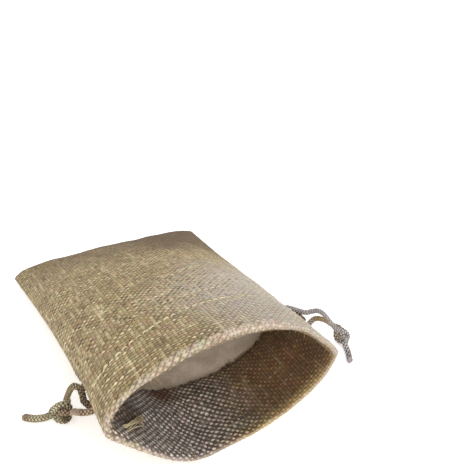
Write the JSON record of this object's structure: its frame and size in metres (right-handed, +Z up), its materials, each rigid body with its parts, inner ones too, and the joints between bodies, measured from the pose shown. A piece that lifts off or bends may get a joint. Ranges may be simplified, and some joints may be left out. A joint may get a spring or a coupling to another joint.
{
  "type": "drawstring sack",
  "caption": "Small burlap sack lying on its back with an open mouth, a turned-in hem and knotted drawstrings that leave it through slits in the side seams.",
  "frame": {"origin": "on the floor under the middle of the cloth, drawstrings left out", "axes": "+X to the right as one looks into the mouth from the front, +Y towards the closed end, +Z up"},
  "size_m": [0.129, 0.1418, 0.047],
  "materials": {
    "burlap": "coarse plain weave, matte",
    "lining": "smooth, matte",
    "cord": "braided, matte"
  },
  "bodies": {
    "root": {"sack_cloth": "burlap", "lining": "lining", "left_drawstring": "cord", "right_drawstring": "cord", "left_knot": "cord", "right_knot": "cord", "left_tail": "cord", "right_tail": "cord"}
  },
  "joints": []
}
